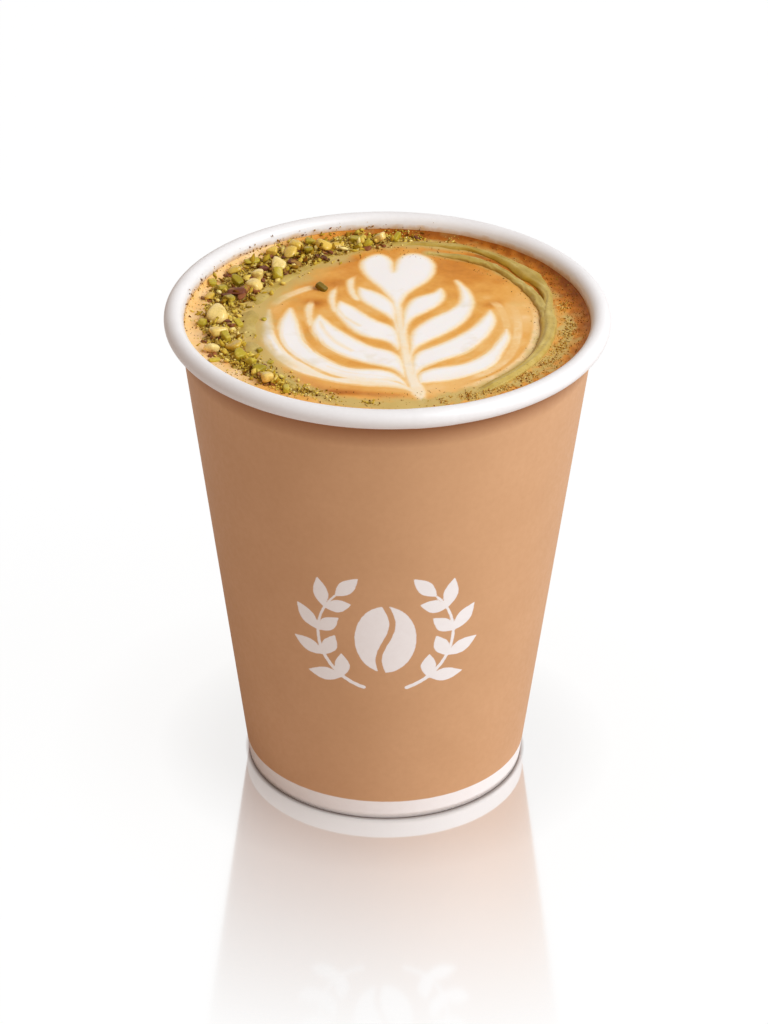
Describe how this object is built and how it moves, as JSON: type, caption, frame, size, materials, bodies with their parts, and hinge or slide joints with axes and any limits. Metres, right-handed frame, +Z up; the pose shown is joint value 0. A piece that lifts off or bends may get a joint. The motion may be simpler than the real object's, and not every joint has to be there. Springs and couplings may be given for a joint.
{
  "type": "pistachio latte in a paper cup",
  "caption": "Pistachio latte with leaf latte art, a pistachio cream ring and chopped nuts, in a double-wall paper cup with a rolled rim.",
  "frame": {"origin": "middle of the cup's foot, on the surface that it stands on", "axes": "+Z up along the cup's axis; the latte art's stem points to -Y, and the chopped pistachios lie on the -X side"},
  "size_m": [0.08, 0.08, 0.0923],
  "materials": {
    "white_paper": "satin",
    "brown_paper": "matte",
    "coffee_foam": "satin",
    "pistachio_cream": "gloss",
    "chopped_pistachio": "matte"
  },
  "bodies": {
    "root": {"inner_cup": "white_paper", "bottom_disc": "white_paper", "outer_wrap": "brown_paper", "latte": "coffee_foam", "pistachio_cream": "pistachio_cream", "chopped_pistachio": "chopped_pistachio"}
  },
  "joints": []
}
